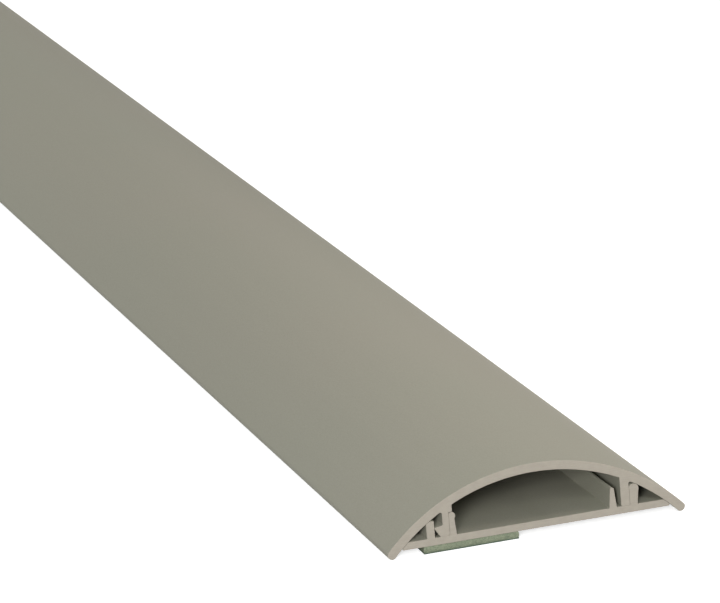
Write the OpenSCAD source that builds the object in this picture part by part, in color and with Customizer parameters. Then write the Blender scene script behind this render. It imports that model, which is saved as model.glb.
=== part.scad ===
// Floor cable ramp: an arched cover clips over a flat base that tape strips hold to the floor.
// Millimetres. X runs along the ramp, Y across it, and Z up from the floor.
// Sections are drawn with Y to the right and Z up, then extruded along X.
// The snap side is at -Y, where a barbed leg wedges between two ribs.
// The stop side is at +Y, where a plain leg bears on the outer rib.

/* [Ramp] */
// Length of the cover and the base
ramp_l = 1000; // [200:10:3000]

/* [Cover] */
// Width over the two rounded edges
cover_w = 75; // [70:0.5:100]
// Height from the floor to the crown
cover_h = 18; // [16.5:0.1:26]
// Wall thickness of the arch
cover_t = 2.2; // [1.6:0.1:3]
// How much larger than half the wall the radius of the rounded edges is
edge_blunt = 0.06; // [0.02:0.01:0.2]
// Size of the chamfers where the legs meet the arch
root_c = 0.4; // [0.2:0.1:0.8]

/* [Legs] */
// Distance between the middles of the two legs
leg_pitch = 45.1; // [40:0.1:50]
// Thickness of the barbed leg
snap_leg_t = 1.6; // [1.2:0.1:2.4]
// Thickness of the plain leg
stop_leg_t = 2.2; // [1.2:0.1:3]
// How far the shoulder stands in from the barbed leg
shoulder_w = 0.95; // [0.4:0.05:1.5]
// Height of the shoulder below the arch
shoulder_h = 1.8; // [1:0.1:3]

/* [Barb] */
// How far the barb stands out from its leg
barb_reach = 2.1; // [1:0.1:3]
// Height of the barb's edge above the base floor
barb_h = 2.4; // [1.5:0.1:3.2]
// Height of the blunt face on the barb's edge
barb_edge = 0.2; // [0.1:0.05:0.5]
// How far the barb's upper face rises towards the leg
barb_rise = 0.4; // [0:0.1:0.8]
// How far the foot of the barb stands out from its leg
barb_foot = 0.75; // [0.2:0.05:0.9]

/* [Base] */
// How far the edges of the base plate lie in from the edges of the cover
base_inset = 3.9; // [3.2:0.1:6]
// Thickness of the base plate
base_t = 1.8; // [1.4:0.05:3]

/* [Ribs] */
// Thickness of the outer rib on the snap side
snap_wall_t = 2; // [1.2:0.1:2.6]
// Thickness of the inner rib on the snap side at its foot
snap_post_foot = 1.7; // [1.3:0.1:2.4]
// Thickness of the inner rib on the snap side at its neck
snap_post_neck = 1.3; // [1:0.1:1.5]
// Thickness of the inner rib on the snap side at its head
snap_post_head = 1.6; // [1.4:0.1:1.8]
// Radius of the head of the inner rib on the snap side
snap_head_r = 0.95; // [0.8:0.05:1.3]
// Thickness of the inner rib on the stop side at its foot
stop_post_foot = 1.9; // [1.2:0.1:2.4]
// Thickness of the inner rib on the stop side at its top
stop_post_top = 1; // [0.8:0.1:1.2]
// How much larger than half its thickness the radius of that rib's top is
post_blunt = 0.05; // [0.02:0.01:0.2]
// Thickness of the outer rib on the stop side at its foot
stop_wall_foot = 1.9; // [1.4:0.1:2.4]
// Thickness of the outer rib on the stop side at its neck
stop_wall_neck = 2.35; // [1.8:0.05:2.4]
// Thickness of the outer rib on the stop side at its head
stop_wall_head = 2.4; // [2.2:0.1:2.8]
// Radius of the head of the outer rib on the stop side
stop_head_r = 1.3; // [1.2:0.05:1.8]

/* [Clearances] */
// Gap between a leg or its barb and the rib that it slides along
fit_gap = 0.1; // [0.05:0.01:0.3]
// Gap between the underside of the cover and the base below it
under_gap = 0.2; // [0.1:0.05:0.4]
// Gap between the shoulder of the barbed leg and the rib below it
seat_gap = 0.1; // [0.05:0.01:0.3]
// Gap between the arch and the tops of the outer ribs, at their middles
wall_gap = 0.3; // [0.2:0.05:0.8]
// Gap between the arch and the top of the inner rib on the stop side
post_gap = 3.15; // [2:0.05:4.5]
// Free gap beside the plain leg, at the foot of the inner rib
stop_gap = 1.15; // [0.6:0.05:2]

/* [Tape] */
// Width of each tape strip
tape_w = 24; // [12:0.5:27]
// Thickness of the foam tape
tape_t = 1.65; // [0.8:0.05:2]
// Thickness of the release liner
liner_t = 0.15; // [0.06:0.01:0.2]
// How far the outer edge of each strip lies in from the edge of the base plate
tape_inset = 5; // [0.5:0.1:6]
// How much shorter than the ramp each strip is cut
tape_short = 12; // [0:1:60]

/* [Hidden] */
$fn = 96;

// The middle of the arch's wall is an arc through the crown and both edge rounds.
wall_half = cover_t / 2;
edge_r = wall_half + edge_blunt;
arc_half = cover_w / 2 - edge_r;
arc_rise = cover_h - wall_half - edge_r;
arc_r = (arc_half * arc_half + arc_rise * arc_rise) / (2 * arc_rise);
arc_z = cover_h - wall_half - arc_r;
arc_angle = asin(arc_half / arc_r);
under_r = arc_r - wall_half;

// Height of the arch's underside at y across the ramp
function under_z(y) = arc_z + sqrt(under_r * under_r - y * y);

// Base plate
base_half = cover_w / 2 - base_inset;
base_z = tape_t + liner_t;
floor_z = base_z + base_t;

// Leg faces, and the rib faces that they set
snap_out = -(leg_pitch + snap_leg_t) / 2;
snap_in = snap_out + snap_leg_t;
shoulder_y = snap_in + shoulder_w;
stop_in = (leg_pitch - stop_leg_t) / 2;
stop_out = stop_in + stop_leg_t;
barb_tip = snap_out - barb_reach;
snap_wall_y = barb_tip - fit_gap - snap_wall_t;
snap_post_y = snap_in + fit_gap;
stop_post_y = stop_in - stop_gap - stop_post_foot;
stop_wall_y = stop_out + fit_gap;

// Rib tops, set by the underside of the cover
shoulder_z = under_z(shoulder_y) - shoulder_h;
snap_wall_z = under_z(snap_wall_y + snap_wall_t / 2) - wall_gap;
snap_post_z = shoulder_z - seat_gap;
stop_post_z = under_z(stop_post_y + stop_post_foot / 2) - post_gap;
stop_wall_z = under_z(stop_wall_y + stop_wall_head / 2) - wall_gap;

pvc_grey = [0.60, 0.58, 0.53];
foam_green = [0.45, 0.49, 0.45];
liner_green = [0.13, 0.24, 0.18];

// Extrude each child section along the ramp, and join the solids
module along_ramp() {
    rotate([90, 0, 90])
        for (i = [0 : $children - 1])
            linear_extrude(height = ramp_l, center = true)
                children(i);
}

// Disc of a given radius about the arch's centre
module arc_disc(radius) {
    translate([0, arc_z])
        circle(r = radius);
}

// Rectangle between two section corners
module block(y0, z0, y1, z1) {
    translate([y0, z0])
        square([y1 - y0, z1 - z0]);
}

// Wall of the cover, which ends in rounded edges
module arch() {
    reach = 2 * arc_r / cos(arc_angle);
    intersection() {
        difference() {
            arc_disc(arc_r + wall_half);
            arc_disc(under_r);
        }
        union() {
            polygon([
                [0, arc_z],
                [reach * sin(arc_angle), arc_z + reach * cos(arc_angle)],
                [-reach * sin(arc_angle), arc_z + reach * cos(arc_angle)]
            ]);
            for (side = [-1, 1])
                translate([side * arc_half, edge_r])
                    circle(r = edge_r);
        }
    }
}

// A leg or shoulder that hangs from the middle of the arch's wall
module hung(y0, y1, foot_z) {
    intersection() {
        block(y0, foot_z, y1, cover_h);
        arc_disc(arc_r);
    }
}

// Chamfer between the arch and a leg face at y, on the face's +Y side (1) or -Y side (-1)
module root_chamfer(y, side) {
    low = [y, under_z(y) - root_c];
    high = [y + side * root_c, under_z(y + side * root_c)];
    overlap = (high - low) / 2;
    polygon([
        low - overlap,
        high + overlap,
        [low[0] - overlap[0], under_z(y) + wall_half]
    ]);
}

module barb() {
    edge_z = floor_z + barb_h;
    polygon([
        [snap_in, floor_z],
        [snap_out - barb_foot, floor_z],
        [barb_tip, edge_z - barb_edge],
        [barb_tip, edge_z],
        [snap_out, edge_z + barb_rise],
        [snap_in, edge_z + barb_rise]
    ]);
}

module base_plate() {
    block(-base_half, base_z, base_half, floor_z);
}

// Outer rib on the snap side: the barb's edge bears on its plain face
module snap_wall() {
    block(snap_wall_y, base_z, snap_wall_y + snap_wall_t, snap_wall_z);
}

// Rib with a plain face at y and a round head on its +Y side
module headed_rib(y, top_z, foot_t, neck_t, head_t, head_r) {
    head_z = top_z - head_r;
    polygon([
        [y, base_z],
        [y + foot_t, base_z],
        [y + foot_t, floor_z],
        [y + neck_t, head_z],
        [y, head_z]
    ]);
    difference() {
        translate([y + head_t - head_r, head_z])
            circle(r = head_r);
        block(y - head_t, floor_z, y, top_z + head_r);
    }
}

// Inner rib on the snap side: it backs the leg, and its head bulges towards the cables
module snap_post() {
    headed_rib(
        snap_post_y, snap_post_z, snap_post_foot, snap_post_neck, snap_post_head, snap_head_r
    );
}

// Inner rib on the stop side: it tapers to a rounded top
module stop_post() {
    top_r = stop_post_top / 2 + post_blunt;
    top_z = stop_post_z - top_r;
    mid_y = stop_post_y + stop_post_foot / 2;
    taper = (stop_post_foot - stop_post_top) / (top_z - floor_z);
    tip_w = stop_post_top - taper * top_r;
    intersection() {
        polygon([
            [stop_post_y, base_z],
            [stop_post_y, floor_z],
            [mid_y - tip_w / 2, stop_post_z],
            [mid_y + tip_w / 2, stop_post_z],
            [stop_post_y + stop_post_foot, floor_z],
            [stop_post_y + stop_post_foot, base_z]
        ]);
        union() {
            block(stop_post_y, base_z, stop_post_y + stop_post_foot, top_z);
            translate([mid_y, top_z])
                circle(r = top_r);
        }
    }
}

// Outer rib on the stop side: it stops the leg, and it leans out to a round head
module stop_wall() {
    headed_rib(
        stop_wall_y, stop_wall_z, stop_wall_foot, stop_wall_neck, stop_wall_head, stop_head_r
    );
}

// A strip under the base on one side (-1 at -Y, 1 at +Y), flush with one end of the ramp
module strip(side, bottom_z, thickness) {
    strip_l = ramp_l - tape_short;
    mid_y = base_half - tape_inset - tape_w / 2;
    translate([-side * tape_short / 2, side * mid_y, bottom_z + thickness / 2])
        cube([strip_l, tape_w, thickness], center = true);
}

// The plate and its ribs are trimmed to clear the underside of the cover.
module base() {
    color(pvc_grey)
        intersection() {
            along_ramp() {
                base_plate();
                snap_wall();
                snap_post();
                stop_post();
                stop_wall();
            }
            along_ramp()
                arc_disc(under_r - under_gap);
        }
}

// The legs stand on the base floor, and the shoulder hangs just over the rib that backs its leg.
module cover() {
    color(pvc_grey)
        along_ramp() {
            arch();
            hung(snap_out, snap_in, floor_z);
            hung(snap_out, shoulder_y, shoulder_z);
            hung(stop_in, stop_out, floor_z);
            barb();
            root_chamfer(snap_out, -1);
            root_chamfer(shoulder_y, 1);
            root_chamfer(stop_in, -1);
            root_chamfer(stop_out, 1);
        }
}

module left_tape() {
    color(foam_green)
        strip(-1, liner_t, tape_t);
}

module right_tape() {
    color(foam_green)
        strip(1, liner_t, tape_t);
}

module left_liner() {
    color(liner_green)
        strip(-1, 0, liner_t);
}

module right_liner() {
    color(liner_green)
        strip(1, 0, liner_t);
}

base();
cover();
left_tape();
right_tape();
left_liner();
right_liner();
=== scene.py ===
import math

import bpy
from mathutils import Matrix, Vector, noise


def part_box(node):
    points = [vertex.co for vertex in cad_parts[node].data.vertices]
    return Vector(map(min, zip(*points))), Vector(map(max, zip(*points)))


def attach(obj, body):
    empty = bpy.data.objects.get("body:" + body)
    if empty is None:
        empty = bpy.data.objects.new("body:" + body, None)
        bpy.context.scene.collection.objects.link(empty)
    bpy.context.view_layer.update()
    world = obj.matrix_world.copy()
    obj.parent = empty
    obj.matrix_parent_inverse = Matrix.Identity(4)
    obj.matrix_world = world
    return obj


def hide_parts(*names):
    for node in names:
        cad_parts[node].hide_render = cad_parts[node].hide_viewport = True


# Looks of a floor cable ramp, in metres in the frame of its solids.
# X runs along the ramp, Y across it, and Z up from the floor.
# The snap side is at -Y and the stop side at +Y. The end at +X faces the camera.
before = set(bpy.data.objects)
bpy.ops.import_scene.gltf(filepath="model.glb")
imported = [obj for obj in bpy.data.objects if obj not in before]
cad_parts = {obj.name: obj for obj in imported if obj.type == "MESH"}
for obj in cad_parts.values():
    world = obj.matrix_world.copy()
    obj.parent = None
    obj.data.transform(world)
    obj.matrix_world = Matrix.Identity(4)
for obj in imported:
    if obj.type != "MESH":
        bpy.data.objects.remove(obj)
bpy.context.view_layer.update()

MM = 0.001

# Sizes that the frame gives
COVER_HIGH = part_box("cover")[1]
BASE_LOW, BASE_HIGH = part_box("base")
RAMP_HALF = COVER_HIGH.x
COVER_HALF = COVER_HIGH.y
COVER_H = COVER_HIGH.z
BASE_HALF = BASE_HIGH.y
BASE_Z = BASE_LOW.z

# Wall of the arched cover
COVER_T = 2.2 * MM
EDGE_BLUNT = 0.06 * MM
ROOT_R = 0.4 * MM

# Legs of the cover
LEG_PITCH = 45.1 * MM
SNAP_LEG_T = 1.6 * MM
STOP_LEG_T = 2.2 * MM
SHOULDER_W = 0.95 * MM
SHOULDER_H = 1.8 * MM
BARB_REACH = 2.1 * MM
BARB_H = 2.4 * MM
BARB_EDGE = 0.2 * MM
BARB_RISE = 0.4 * MM
BARB_FOOT = 0.75 * MM

# Plate and ribs of the base
BASE_T = 1.8 * MM
SNAP_WALL_T = 2 * MM
SNAP_POST_FOOT = 1.7 * MM
SNAP_POST_NECK = 1.3 * MM
SNAP_POST_HEAD = 1.6 * MM
SNAP_HEAD_R = 0.95 * MM
STOP_POST_FOOT = 1.9 * MM
STOP_POST_TOP = 1 * MM
STOP_WALL_FOOT = 1.9 * MM
STOP_WALL_NECK = 2.35 * MM
STOP_WALL_HEAD = 2.4 * MM
STOP_HEAD_R = 1.3 * MM

# Gaps between the cover and the base, down to hairlines where the clip draws them together
FIT_GAP = 0.04 * MM
UNDER_GAP = 0.07 * MM
SEAT_GAP = 0.05 * MM
WALL_GAP = 0.16 * MM
POST_GAP = 3.15 * MM
STOP_GAP = 1.15 * MM

# Small rounds of the extruded corners, and the broken edge of a sawn end
SOFT_R = 0.25 * MM
CRISP_R = 0.12 * MM
SHARP_R = 0.06 * MM
SAW_EDGE = 0.06 * MM

# Spacing of points on large and small arcs, and of rings along the ramp
ARC_STEP = 0.9 * MM
ROUND_STEP = 0.08 * MM
RING_STEP = 25 * MM
SMOOTH_ANGLE = math.radians(32)

# The middle of the arch's wall is an arc through the crown and both edge rounds.
WALL_HALF = COVER_T / 2
EDGE_R = WALL_HALF + EDGE_BLUNT
ARC_HALF = COVER_HALF - EDGE_R
ARC_RISE = COVER_H - WALL_HALF - EDGE_R
ARC_R = (ARC_HALF**2 + ARC_RISE**2) / (2 * ARC_RISE)
ARC_Z = COVER_H - WALL_HALF - ARC_R
ARC_ANGLE = math.asin(ARC_HALF / ARC_R)
ARC_CENTRE = Vector((0, ARC_Z))
UNDER_R = ARC_R - WALL_HALF
TRIM_R = UNDER_R - UNDER_GAP

# Leg faces, and the rib faces that they set
FLOOR_Z = BASE_Z + BASE_T
SNAP_OUT = -(LEG_PITCH + SNAP_LEG_T) / 2
SNAP_IN = SNAP_OUT + SNAP_LEG_T
SHOULDER_Y = SNAP_IN + SHOULDER_W
STOP_IN = (LEG_PITCH - STOP_LEG_T) / 2
STOP_OUT = STOP_IN + STOP_LEG_T
BARB_TIP = SNAP_OUT - BARB_REACH
SNAP_WALL_Y = BARB_TIP - FIT_GAP - SNAP_WALL_T
SNAP_POST_Y = SNAP_IN + FIT_GAP
STOP_POST_Y = STOP_IN - STOP_GAP - STOP_POST_FOOT
STOP_WALL_Y = STOP_OUT + FIT_GAP


def height_on(radius, y):
    """Height at y of a circle about the arch's centre."""
    return ARC_Z + math.sqrt(radius**2 - y**2)


def width_on(radius, z):
    """Half width at height z of a circle about the arch's centre."""
    return math.sqrt(radius**2 - (z - ARC_Z) ** 2)


# Rib tops, set by the underside of the cover
SHOULDER_Z = height_on(UNDER_R, SHOULDER_Y) - SHOULDER_H
SNAP_WALL_Z = height_on(UNDER_R, SNAP_WALL_Y + SNAP_WALL_T / 2) - WALL_GAP
SNAP_POST_Z = SHOULDER_Z - SEAT_GAP
STOP_POST_Z = height_on(UNDER_R, STOP_POST_Y + STOP_POST_FOOT / 2) - POST_GAP
STOP_WALL_Z = height_on(UNDER_R, STOP_WALL_Y + STOP_WALL_HEAD / 2) - WALL_GAP


# Outlines are lists of 2-D points, y then z, counterclockwise seen from +X.


def arc(centre, radius, start, end, step=ARC_STEP):
    """Points on an arc from one angle to another, both ends included."""
    count = max(2, math.ceil(abs(end - start) * radius / step))
    angles = [start + (end - start) * i / count for i in range(count + 1)]
    return [
        centre + radius * Vector((math.cos(a), math.sin(a))) for a in angles
    ]


def arch_arc(radius, y0, y1):
    """Points on a circle about the arch's centre, from y0 to y1 on its upper side."""
    return arc(ARC_CENTRE, radius, math.acos(y0 / radius), math.acos(y1 / radius))


def corner(y, z, radius=SOFT_R):
    """An outline corner that is to be rounded."""
    return Vector((y, z)), radius


def plain(points):
    """Outline points that stay as they are."""
    return [(point, 0) for point in points]


def rounded(corners):
    """Outline in which each corner with a radius has become an arc."""
    outline = []
    for i, (point, radius) in enumerate(corners):
        if not radius:
            outline.append(point)
            continue
        back = (corners[i - 1][0] - point).normalized()
        ahead = (corners[(i + 1) % len(corners)][0] - point).normalized()
        half = back.angle(ahead) / 2
        centre = point + (back + ahead).normalized() * radius / math.sin(half)
        first = point + back * radius / math.tan(half) - centre
        last = point + ahead * radius / math.tan(half) - centre
        start = math.atan2(first.y, first.x)
        sweep = math.atan2(first.cross(last), first.dot(last))
        outline += arc(centre, radius, start, start + sweep, ROUND_STEP)
    return outline


def edge_tip(side):
    """Rounded edge of the cover, from its underside to its top at +Y (1), or back at -Y (-1)."""
    lean = math.acos(WALL_HALF / EDGE_R)
    middle = math.pi / 2 - ARC_ANGLE
    points = arc(
        Vector((ARC_HALF, EDGE_R)), EDGE_R, middle - math.pi + lean, middle - lean, ROUND_STEP
    )
    return points if side > 0 else [Vector((-p.x, p.y)) for p in reversed(points)]


def cover_outline():
    """Section of the cover, from the underside of its left edge round to the top of that edge."""
    barb_z = FLOOR_Z + BARB_H
    left_tip, right_tip = edge_tip(-1), edge_tip(1)
    top_y = right_tip[-1].x
    under_y = right_tip[0].x
    return rounded(
        plain(arch_arc(UNDER_R, -under_y, SNAP_OUT)[1:-1])
        + [
            corner(SNAP_OUT, height_on(UNDER_R, SNAP_OUT), ROOT_R),
            corner(SNAP_OUT, barb_z + BARB_RISE),
            corner(BARB_TIP, barb_z, SHARP_R),
            corner(BARB_TIP, barb_z - BARB_EDGE, SHARP_R),
            corner(SNAP_OUT - BARB_FOOT, FLOOR_Z, CRISP_R),
            corner(SNAP_IN, FLOOR_Z),
            corner(SNAP_IN, SHOULDER_Z, CRISP_R),
            corner(SHOULDER_Y, SHOULDER_Z),
            corner(SHOULDER_Y, height_on(UNDER_R, SHOULDER_Y), ROOT_R),
        ]
        + plain(arch_arc(UNDER_R, SHOULDER_Y, STOP_IN)[1:-1])
        + [
            corner(STOP_IN, height_on(UNDER_R, STOP_IN), ROOT_R),
            corner(STOP_IN, FLOOR_Z),
            corner(STOP_OUT, FLOOR_Z),
            corner(STOP_OUT, height_on(UNDER_R, STOP_OUT), ROOT_R),
        ]
        + plain(arch_arc(UNDER_R, STOP_OUT, under_y)[1:-1])
        + plain(right_tip)
        + plain(arch_arc(ARC_R + WALL_HALF, top_y, -top_y)[1:-1])
        + plain(left_tip)
    )


def head(y, top_z, foot_t, neck_t, head_t, head_r):
    """Headed rib with a plain face at y, from its foot on the +Y side to the top of that face."""
    centre = Vector((y + head_t - head_r, top_z - head_r))
    foot = Vector((y + foot_t, FLOOR_Z))
    neck = Vector((y + neck_t, centre.y))
    along = (neck - foot).normalized()
    off = along.cross(centre - foot)
    meet = foot + along * ((centre - foot).dot(along) - math.sqrt(head_r**2 - off**2))
    start = math.atan2(meet.y - centre.y, meet.x - centre.x)
    end = math.acos((y - centre.x) / head_r)
    points = [foot] + arc(centre, head_r, start, end, ROUND_STEP)
    return [trimmed(point) for point in points]


def trimmed(point):
    """The point, moved in where it would come too near the underside of the cover."""
    away = point - ARC_CENTRE
    return ARC_CENTRE + away * min(1, TRIM_R / away.length)


def stop_post_outline():
    """Inner rib on the stop side, from its +Y foot over its round top to the other foot."""
    top_r = STOP_POST_TOP / 2
    middle = Vector((STOP_POST_Y + STOP_POST_FOOT / 2, STOP_POST_Z - top_r))
    return (
        [corner(STOP_POST_Y + STOP_POST_FOOT, FLOOR_Z, CRISP_R)]
        + plain(arc(middle, top_r, 0, math.pi, ROUND_STEP))
        + [corner(STOP_POST_Y, FLOOR_Z, CRISP_R)]
    )


def base_outline():
    """Section of the base, from the left edge along the underside and back over the ribs."""
    plate_y = width_on(TRIM_R, FLOOR_Z)
    plate_edge = arch_arc(TRIM_R, BASE_HALF, plate_y)
    stop_wall = head(
        STOP_WALL_Y, STOP_WALL_Z, STOP_WALL_FOOT, STOP_WALL_NECK, STOP_WALL_HEAD, STOP_HEAD_R
    )
    snap_post = head(
        SNAP_POST_Y, SNAP_POST_Z, SNAP_POST_FOOT, SNAP_POST_NECK, SNAP_POST_HEAD, SNAP_HEAD_R
    )
    snap_wall_in = SNAP_WALL_Y + SNAP_WALL_T
    return rounded(
        [
            corner(-BASE_HALF, BASE_Z, CRISP_R),
            corner(BASE_HALF, BASE_Z, CRISP_R),
        ]
        + plain(plate_edge)
        + [corner(*stop_wall[0], CRISP_R)]
        + plain(stop_wall[1:])
        + [corner(STOP_WALL_Y, FLOOR_Z, CRISP_R)]
        + stop_post_outline()
        + [corner(*snap_post[0], CRISP_R)]
        + plain(snap_post[1:])
        + [
            corner(SNAP_POST_Y, FLOOR_Z, CRISP_R),
            corner(snap_wall_in, FLOOR_Z, CRISP_R),
            corner(snap_wall_in, SNAP_WALL_Z, CRISP_R),
        ]
        + plain(arch_arc(TRIM_R, -width_on(TRIM_R, SNAP_WALL_Z), SNAP_WALL_Y))
        + [corner(SNAP_WALL_Y, FLOOR_Z, CRISP_R)]
        + plain([Vector((-p.x, p.y)) for p in reversed(plate_edge)])
    )


def inset(outline, depth):
    """The outline, moved into the material by a small depth."""
    moved = []
    for i, point in enumerate(outline):
        arrive = (point - outline[i - 1]).normalized()
        leave = (outline[(i + 1) % len(outline)] - point).normalized()
        inward = Vector((-arrive.y - leave.y, arrive.x + leave.x)).normalized()
        stretch = inward.dot(Vector((-arrive.y, arrive.x)))
        moved.append(point + inward * depth / stretch)
    return moved


def link(name, mesh, *materials):
    """Puts a mesh in the scene as a smooth-shaded object with these materials."""
    for material in materials:
        mesh.materials.append(material)
    mesh.update()
    mesh.shade_smooth()
    mesh.set_sharp_from_angle(angle=SMOOTH_ANGLE)
    piece = bpy.data.objects.new(name, mesh)
    bpy.context.scene.collection.objects.link(piece)
    return piece


def extrusion(name, outline, skin, sawn):
    """The outline drawn out along the ramp, with its two sawn ends in their own material."""
    rings = math.ceil(2 * RAMP_HALF / RING_STEP)
    body_half = RAMP_HALF - SAW_EDGE
    stations = [-body_half + 2 * body_half * i / rings for i in range(rings + 1)]
    end = inset(outline, SAW_EDGE)
    loops = (
        [(-RAMP_HALF, end)]
        + [(x, outline) for x in stations]
        + [(RAMP_HALF, end)]
    )
    points = [(x, p.x, p.y) for x, loop in loops for p in loop]
    count = len(outline)
    faces = [
        (
            k * count + i,
            k * count + (i + 1) % count,
            (k + 1) * count + (i + 1) % count,
            (k + 1) * count + i,
        )
        for k in range(len(loops) - 1)
        for i in range(count)
    ]
    sides = len(faces)
    last = (len(loops) - 1) * count
    faces.append(tuple(reversed(range(count))))
    faces.append(tuple(range(last, last + count)))
    mesh = bpy.data.meshes.new(name)
    mesh.from_pydata(points, [], faces)
    for face in mesh.polygons:
        cut = face.index < count or face.index >= sides - count
        face.material_index = 1 if cut else 0
    return link(name, mesh, skin, sawn)


def steps(low, high, count):
    """Evenly spaced values from low to high."""
    return [low + (high - low) * i / count for i in range(count + 1)]


def box_grid(xs, ys, zs):
    """Points and quads of the six sides of a box, divided at the given coordinates."""
    index = {}

    def vertex(i, j, k):
        return index.setdefault((i, j, k), len(index))

    nx, ny, nz = len(xs) - 1, len(ys) - 1, len(zs) - 1
    faces = []
    for i in range(nx):
        for j in range(ny):
            for k, turn in ((0, -1), (nz, 1)):
                quad = [(i, j, k), (i + 1, j, k), (i + 1, j + 1, k), (i, j + 1, k)]
                faces.append([vertex(*q) for q in quad[::turn]])
        for k in range(nz):
            for j, turn in ((0, 1), (ny, -1)):
                quad = [(i, j, k), (i + 1, j, k), (i + 1, j, k + 1), (i, j, k + 1)]
                faces.append([vertex(*q) for q in quad[::turn]])
    for j in range(ny):
        for k in range(nz):
            for i, turn in ((0, -1), (nx, 1)):
                quad = [(i, j, k), (i, j + 1, k), (i, j + 1, k + 1), (i, j, k + 1)]
                faces.append([vertex(*q) for q in quad[::turn]])
    points = [Vector((xs[i], ys[j], zs[k])) for i, j, k in index]
    return points, faces


# Foam tape and its release liner
STRIP_RING = 8 * MM
FOAM_COLUMNS = 54
FOAM_ROWS = 6
FOAM_PINCH = 0.16 * MM
FOAM_CELL = 1.1 * MM
FOAM_RAGGED = 0.09 * MM
LINER_COLUMNS = 6
LINER_ROWS = 1
LINER_WANDER = 45 * MM
LINER_SWAY = 0.12 * MM
END_SPLIT = 0.8 * MM


def strip_grid(low, high, columns, rows):
    """Divided box of a strip, with closer rings next to its two ends."""
    rings = math.ceil((high.x - low.x) / STRIP_RING)
    xs = (
        [low.x]
        + steps(low.x + END_SPLIT, high.x - END_SPLIT, rings)
        + [high.x]
    )
    return box_grid(xs, steps(low.y, high.y, columns), steps(low.z, high.z, rows))


def foam_strip(name, node, material):
    """Foam tape whose cut sides are ragged with cells and a little pinched at top and bottom."""
    low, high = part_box(node)
    middle, size = (low + high) / 2, high - low
    points, faces = strip_grid(low, high, FOAM_COLUMNS, FOAM_ROWS)
    for point in points:
        rise = abs(point.z - middle.z) / (size.z / 2)
        cell = 1 + noise.noise(point / FOAM_CELL)
        depth = FOAM_PINCH * rise**3 + FOAM_RAGGED * cell
        for axis in (0, 1):
            if abs(abs(point[axis] - middle[axis]) - size[axis] / 2) < SHARP_R:
                point[axis] += math.copysign(depth, middle[axis] - point[axis])
    mesh = bpy.data.meshes.new(name)
    mesh.from_pydata(points, [], faces)
    return link(name, mesh, material)


def liner_film(name, node, material):
    """Release liner whose long edges wander a little, as slit film does."""
    low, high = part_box(node)
    middle, size = (low + high) / 2, high - low
    points, faces = strip_grid(low, high, LINER_COLUMNS, LINER_ROWS)
    for point in points:
        across = (point.y - middle.y) / (size.y / 2)
        sway = noise.noise(Vector((point.x / LINER_WANDER, math.copysign(1, across), 0)))
        point.y -= math.copysign(LINER_SWAY * (1 + sway), across) * across**2
    mesh = bpy.data.meshes.new(name)
    mesh.from_pydata(points, [], faces)
    return link(name, mesh, material)


def srgb(red, green, blue):
    """Linear colour, with alpha, of an 8-bit sRGB colour."""

    def linear(value):
        value /= 255
        return value / 12.92 if value <= 0.04045 else ((value + 0.055) / 1.055) ** 2.4

    return linear(red), linear(green), linear(blue), 1


def new_material(name):
    """A node material, its tree and its shader."""
    material = bpy.data.materials.new(name)
    material.use_nodes = True
    return material, material.node_tree, material.node_tree.nodes["Principled BSDF"]


def add(tree, kind, inputs, **settings):
    """A new node, whose inputs are set to values or linked to other nodes' sockets."""
    node = tree.nodes.new(kind)
    for key, value in settings.items():
        setattr(node, key, value)
    for key, value in inputs.items():
        if isinstance(value, bpy.types.NodeSocket):
            tree.links.new(value, node.inputs[key])
        else:
            node.inputs[key].default_value = value
    return node


def stretched_noise(tree, stretch, detail=2.0, rough=0.5):
    """Noise over the object's own coordinates, with so many cells per metre on each axis."""
    place = add(tree, "ShaderNodeTexCoord", {}).outputs["Object"]
    scaled = add(tree, "ShaderNodeMapping", {"Vector": place, "Scale": stretch})
    made = add(
        tree,
        "ShaderNodeTexNoise",
        {
            "Vector": scaled.outputs["Vector"],
            "Scale": 1.0,
            "Detail": detail,
            "Roughness": rough,
        },
    )
    return made.outputs["Fac"]


# Most values of a noise texture lie in this range.
NOISE_LOW = 0.3
NOISE_HIGH = 0.7

# Places of the colour sockets of a Mix node
MIX_FIRST = 6
MIX_SECOND = 7
MIX_RESULT = 2


def ramp(tree, value, low, high, from_low=NOISE_LOW, from_high=NOISE_HIGH):
    """The value, taken from one range to another."""
    made = add(
        tree,
        "ShaderNodeMapRange",
        {
            "Value": value,
            "From Min": from_low,
            "From Max": from_high,
            "To Min": low,
            "To Max": high,
        },
    )
    return made.outputs["Result"]


def mix_colour(tree, share, first, second):
    """Colour between two others, by a share from 0 to 1."""
    made = add(
        tree, "ShaderNodeMix", {"Factor": share}, data_type="RGBA", blend_type="MIX"
    )
    for place, value in ((MIX_FIRST, first), (MIX_SECOND, second)):
        socket = made.inputs[place]
        if isinstance(value, bpy.types.NodeSocket):
            tree.links.new(value, socket)
        else:
            socket.default_value = value
    return made.outputs[MIX_RESULT]


def bump(tree, height, distance, normal=None):
    """Normal of a surface with a height in metres from 0 to distance."""
    inputs = {"Height": height, "Distance": distance, "Strength": 1.0}
    if normal:
        inputs["Normal"] = normal
    return add(tree, "ShaderNodeBump", inputs).outputs["Normal"]


# Satin PVC: marks in cells per metre, tones, roughness, relief and sheen
SKIN_FINE_LINES = (1.5, 900, 900)
SKIN_BROAD_LINES = (0.8, 120, 120)
SKIN_MOTTLE = (9, 22, 22)
SKIN_GRAIN = (2600, 2600, 2600)
SKIN_COOL = srgb(147, 147, 133)
SKIN_WARM = srgb(150, 147, 134)
SKIN_LINE = srgb(157, 155, 142)
SKIN_LINE_SHARE = 0.6
SKIN_SPECK = srgb(139, 137, 124)
SKIN_SPECK_SHARE = 0.4
SKIN_ROUGHNESS = (0.6, 0.7)
SKIN_LINE_DEPTH = 0.01 * MM
SKIN_GRAIN_DEPTH = 0.012 * MM
SKIN_SHEEN = 0.15


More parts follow.
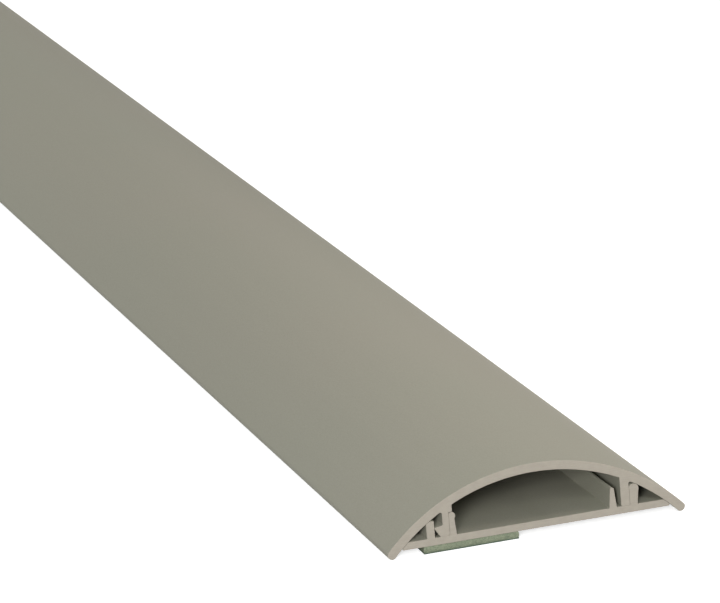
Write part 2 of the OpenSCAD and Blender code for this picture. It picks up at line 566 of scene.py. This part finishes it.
def pvc_skin(name):
    """Satin extruded PVC: drawn lines along the ramp, slow mottling and a fine grain."""
    material, tree, shader = new_material(name)
    fine_lines = stretched_noise(tree, SKIN_FINE_LINES)
    broad_lines = stretched_noise(tree, SKIN_BROAD_LINES, detail=3.0)
    mottle = stretched_noise(tree, SKIN_MOTTLE)
    grain = stretched_noise(tree, SKIN_GRAIN, detail=1.0)
    tone = mix_colour(tree, ramp(tree, mottle, 0, 1), SKIN_COOL, SKIN_WARM)
    drawn = mix_colour(tree, ramp(tree, broad_lines, 0, SKIN_LINE_SHARE), tone, SKIN_LINE)
    speck = mix_colour(tree, ramp(tree, grain, 0, SKIN_SPECK_SHARE), drawn, SKIN_SPECK)
    tree.links.new(speck, shader.inputs["Base Color"])
    gloss = ramp(tree, broad_lines, *SKIN_ROUGHNESS)
    tree.links.new(gloss, shader.inputs["Roughness"])
    drawn_normal = bump(tree, fine_lines, SKIN_LINE_DEPTH)
    grain_normal = bump(tree, grain, SKIN_GRAIN_DEPTH, drawn_normal)
    tree.links.new(grain_normal, shader.inputs["Normal"])
    shader.inputs["Specular IOR Level"].default_value = SKIN_SHEEN
    return material


# Sawn PVC: marks in cells per metre, tones, roughness, relief and sheen
SAWN_SCRATCHES = (300, 260, 3800)
SAWN_PATCHES = (500, 500, 500)
SAWN_DARK = srgb(152, 145, 134)
SAWN_PALE = srgb(159, 152, 140)
SAWN_SCRATCH = srgb(167, 161, 150)
SAWN_SCRATCH_SHARE = 0.5
SAWN_ROUGHNESS = (0.6, 0.75)
SAWN_SCRATCH_DEPTH = 0.03 * MM
SAWN_SHEEN = 0.3


def pvc_sawn(name):
    """Sawn PVC: paler and duller, with the scratches of the blade across the section."""
    material, tree, shader = new_material(name)
    scratches = stretched_noise(tree, SAWN_SCRATCHES, detail=3.0)
    patches = stretched_noise(tree, SAWN_PATCHES)
    tone = mix_colour(tree, ramp(tree, patches, 0, 1), SAWN_DARK, SAWN_PALE)
    share = ramp(tree, scratches, 0, SAWN_SCRATCH_SHARE)
    scratched = mix_colour(tree, share, tone, SAWN_SCRATCH)
    tree.links.new(scratched, shader.inputs["Base Color"])
    tree.links.new(ramp(tree, scratches, *SAWN_ROUGHNESS), shader.inputs["Roughness"])
    tree.links.new(bump(tree, scratches, SAWN_SCRATCH_DEPTH), shader.inputs["Normal"])
    shader.inputs["Specular IOR Level"].default_value = SAWN_SHEEN
    return material


# Foam: cells per metre, tones with the painted shade of its cell pits, reach of that shade from a
# cell's middle, relief and finish
FOAM_PITS = 3200
FOAM_CLOUD = (700, 700, 700)
FOAM_DARK = srgb(120, 129, 109)
FOAM_PALE = srgb(137, 144, 122)
FOAM_PIT_SHADE = srgb(88, 98, 81)
FOAM_PIT_SHADE_SHARE = 0.7
FOAM_PIT_SHADE_REACH = (0.1, 0.5)
FOAM_PIT_DEPTH = 0.12 * MM
FOAM_ROUGHNESS = 0.9
FOAM_SHEEN = 0.2


def foam(name):
    """Closed-cell foam: grey-green, with painted shade in its small cell pits."""
    material, tree, shader = new_material(name)
    place = add(tree, "ShaderNodeTexCoord", {}).outputs["Object"]
    cells = add(
        tree, "ShaderNodeTexVoronoi", {"Vector": place, "Scale": FOAM_PITS}
    ).outputs["Distance"]
    cloud = stretched_noise(tree, FOAM_CLOUD)
    body = mix_colour(tree, ramp(tree, cloud, 0, 1), FOAM_DARK, FOAM_PALE)
    # Painted shade: the pit colour is strongest at the middle of each cell pit
    share = ramp(tree, cells, FOAM_PIT_SHADE_SHARE, 0, *FOAM_PIT_SHADE_REACH)
    pit_shaded = mix_colour(tree, share, body, FOAM_PIT_SHADE)
    tree.links.new(pit_shaded, shader.inputs["Base Color"])
    tree.links.new(bump(tree, cells, FOAM_PIT_DEPTH), shader.inputs["Normal"])
    shader.inputs["Roughness"].default_value = FOAM_ROUGHNESS
    shader.inputs["Specular IOR Level"].default_value = FOAM_SHEEN
    return material


# Release film, whose darkness is partly painted shade along the foot of the tape: marks in cells
# per metre, tones, roughness and relief
FILM_CREASES = (18, 160, 160)
FILM_CLOUD = (60, 60, 60)
FILM_DARK = srgb(30, 58, 43)
FILM_PALE = srgb(40, 70, 52)
FILM_CREASE = srgb(58, 88, 70)
FILM_CREASE_SHARE = 0.4
FILM_ROUGHNESS = (0.26, 0.4)
FILM_CREASE_DEPTH = 0.05 * MM


def film(name):
    """Dark green release film with a soft gloss and faint creases; its darkness is partly painted
    shade at the tape's foot.
    """
    material, tree, shader = new_material(name)
    creases = stretched_noise(tree, FILM_CREASES, detail=4.0)
    cloud = stretched_noise(tree, FILM_CLOUD)
    body = mix_colour(tree, ramp(tree, cloud, 0, 1), FILM_DARK, FILM_PALE)
    creased = mix_colour(tree, ramp(tree, creases, 0, FILM_CREASE_SHARE), body, FILM_CREASE)
    tree.links.new(creased, shader.inputs["Base Color"])
    tree.links.new(ramp(tree, creases, *FILM_ROUGHNESS), shader.inputs["Roughness"])
    tree.links.new(bump(tree, creases, FILM_CREASE_DEPTH), shader.inputs["Normal"])
    return material


def seat(piece, node, body):
    """The piece stands for a node and rides on its body."""
    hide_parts(node)
    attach(piece, body)


cover_skin = pvc_skin("cover_pvc")
base_skin = pvc_skin("base_pvc")
sawn_end = pvc_sawn("sawn_pvc")
foam_green = foam("foam_green")
film_green = film("film_green")

cover = extrusion("cover_profile", cover_outline(), cover_skin, sawn_end)
seat(cover, "cover", "cover")
base = extrusion("base_profile", base_outline(), base_skin, sawn_end)
seat(base, "base", "base")
for side in ("left", "right"):
    tape = f"{side}_tape"
    liner = f"{side}_liner"
    seat(foam_strip(f"{tape}_foam", tape, foam_green), tape, "base")
    seat(liner_film(f"{liner}_film", liner, film_green), liner, "base")

# Floor: its half width and its drop under the part, then its colour as it is seen, the colour
# of the light that it gives back, and its glow
FLOOR_HALF = 20
FLOOR_DROP = 0.15 * MM
FLOOR_COLOUR = srgb(236, 236, 236)
FLOOR_BOUNCE = srgb(137, 137, 137)
FLOOR_GLOW = 0.71

# Light from all round
SKY_COLOUR = (1, 1, 1, 1)
AMBIENT = 0.36


def seen_ray(tree):
    """1 for rays from the camera, a mirror or glass, and 0 for rays that carry light."""
    paths = add(tree, "ShaderNodeLightPath", {}).outputs
    sharp = add(
        tree,
        "ShaderNodeMath",
        {0: paths["Is Glossy Ray"], 1: paths["Is Transmission Ray"]},
        operation="MAXIMUM",
    )
    seen = add(
        tree,
        "ShaderNodeMath",
        {0: paths["Is Camera Ray"], 1: sharp.outputs[0]},
        operation="MAXIMUM",
    )
    return seen.outputs[0]


def make_floor():
    """A wide pale floor that takes the shadow, gives back little light and looks white."""
    mesh = bpy.data.meshes.new("floor")
    ends = (-FLOOR_HALF, FLOOR_HALF)
    corners = [(x, y, -FLOOR_DROP) for x in ends for y in ends]
    mesh.from_pydata(corners, [], [(0, 2, 3, 1)])
    material = bpy.data.materials.new("floor")
    material.use_nodes = True
    tree = material.node_tree
    tree.nodes.remove(tree.nodes["Principled BSDF"])
    seen = seen_ray(tree)
    shade = mix_colour(tree, seen, FLOOR_BOUNCE, FLOOR_COLOUR)
    paper = add(tree, "ShaderNodeBsdfDiffuse", {"Color": shade})
    glow = add(tree, "ShaderNodeEmission", {"Strength": ramp(tree, seen, 0, FLOOR_GLOW, 0, 1)})
    both = add(tree, "ShaderNodeAddShader", {0: paper.outputs[0], 1: glow.outputs[0]})
    tree.links.new(both.outputs[0], tree.nodes["Material Output"].inputs["Surface"])
    mesh.materials.append(material)
    floor = bpy.data.objects.new("floor", mesh)
    bpy.context.scene.collection.objects.link(floor)


def make_world():
    """Soft light from all round, which the camera sees as white."""
    world = bpy.data.worlds.new("studio")
    world.use_nodes = True
    tree = world.node_tree
    sky = tree.nodes["Background"]
    sky.inputs["Color"].default_value = SKY_COLOUR
    tree.links.new(ramp(tree, seen_ray(tree), AMBIENT, 1, 0, 1), sky.inputs["Strength"])
    bpy.context.scene.world = world


def soft_lamp(name, place, aim, size, watts, colour, mirrored=True):
    """A square softbox turned to what it lights. The camera never sees it, and mirrors may not."""
    data = bpy.data.lights.new(name, "AREA")
    data.size = size
    data.energy = watts
    data.color = colour
    lamp = bpy.data.objects.new(name, data)
    lamp.location = place
    lamp.rotation_euler = (Vector(aim) - Vector(place)).to_track_quat("-Z", "Y").to_euler()
    lamp.visible_camera = False
    lamp.visible_glossy = mirrored
    bpy.context.scene.collection.objects.link(lamp)


make_floor()
make_world()
soft_lamp(
    "key",
    place=(0.5, 0.4, 0.32),
    aim=(0.5, 0, 0),
    size=0.3,
    watts=1.12,
    colour=(1, 0.9, 0.85),
)
soft_lamp(
    "front",
    place=(1.8, 0, 0.8),
    aim=(0.45, 0, 0),
    size=0.5,
    watts=6.7,
    colour=(0.97, 1, 0.97),
)
soft_lamp(
    "low",
    place=(1.75, -0.62, 0.42),
    aim=(0.5, 0, 0.01),
    size=0.3,
    watts=14.9,
    colour=(1, 1, 1),
)
soft_lamp(
    "fill",
    place=(-0.3, -0.6, 0.4),
    aim=(-0.2, 0, 0),
    size=0.5,
    watts=1.7,
    colour=(0.96, 1, 0.965),
)
soft_lamp(
    "rim",
    place=(-0.75, 0.5, 0.4),
    aim=(-0.6, 0, 0),
    size=0.4,
    watts=0.7,
    colour=(1, 0.9, 0.74),
)
soft_lamp(
    "back",
    place=(-2, 0.5, 0.35),
    aim=(-0.5, 0, 0.01),
    size=0.6,
    watts=12,
    colour=(1, 0.96, 0.9),
    mirrored=False,
)

# Camera, as the photograph was taken: from above the near end, a little turned
CAMERA_PLACE = Vector((1.55556, -0.3254, 0.34173))
CAMERA_AZIMUTH = math.radians(74.81)
CAMERA_ELEVATION = math.radians(14.257)
CAMERA_ROLL = math.radians(-5.04)
CAMERA_LENS = 241.61
SENSOR_WIDTH = 36


def make_camera():
    """The scene's camera, at the photograph's viewing angle."""
    data = bpy.data.cameras.new("camera")
    data.sensor_width = SENSOR_WIDTH
    data.lens = CAMERA_LENS
    back = Vector((
        math.sin(CAMERA_AZIMUTH) * math.cos(CAMERA_ELEVATION),
        -math.cos(CAMERA_AZIMUTH) * math.cos(CAMERA_ELEVATION),
        math.sin(CAMERA_ELEVATION),
    ))
    level = Vector((0, 0, 1)).cross(back).normalized()
    right = Matrix.Rotation(-CAMERA_ROLL, 3, -back) @ level
    up = back.cross(right)
    turned = Matrix((right, up, back)).transposed()
    camera = bpy.data.objects.new("camera", data)
    camera.matrix_world = Matrix.Translation(CAMERA_PLACE) @ turned.to_4x4()
    bpy.context.scene.collection.objects.link(camera)
    bpy.context.scene.camera = camera


make_camera()
bpy.context.scene.view_settings.view_transform = "Standard"
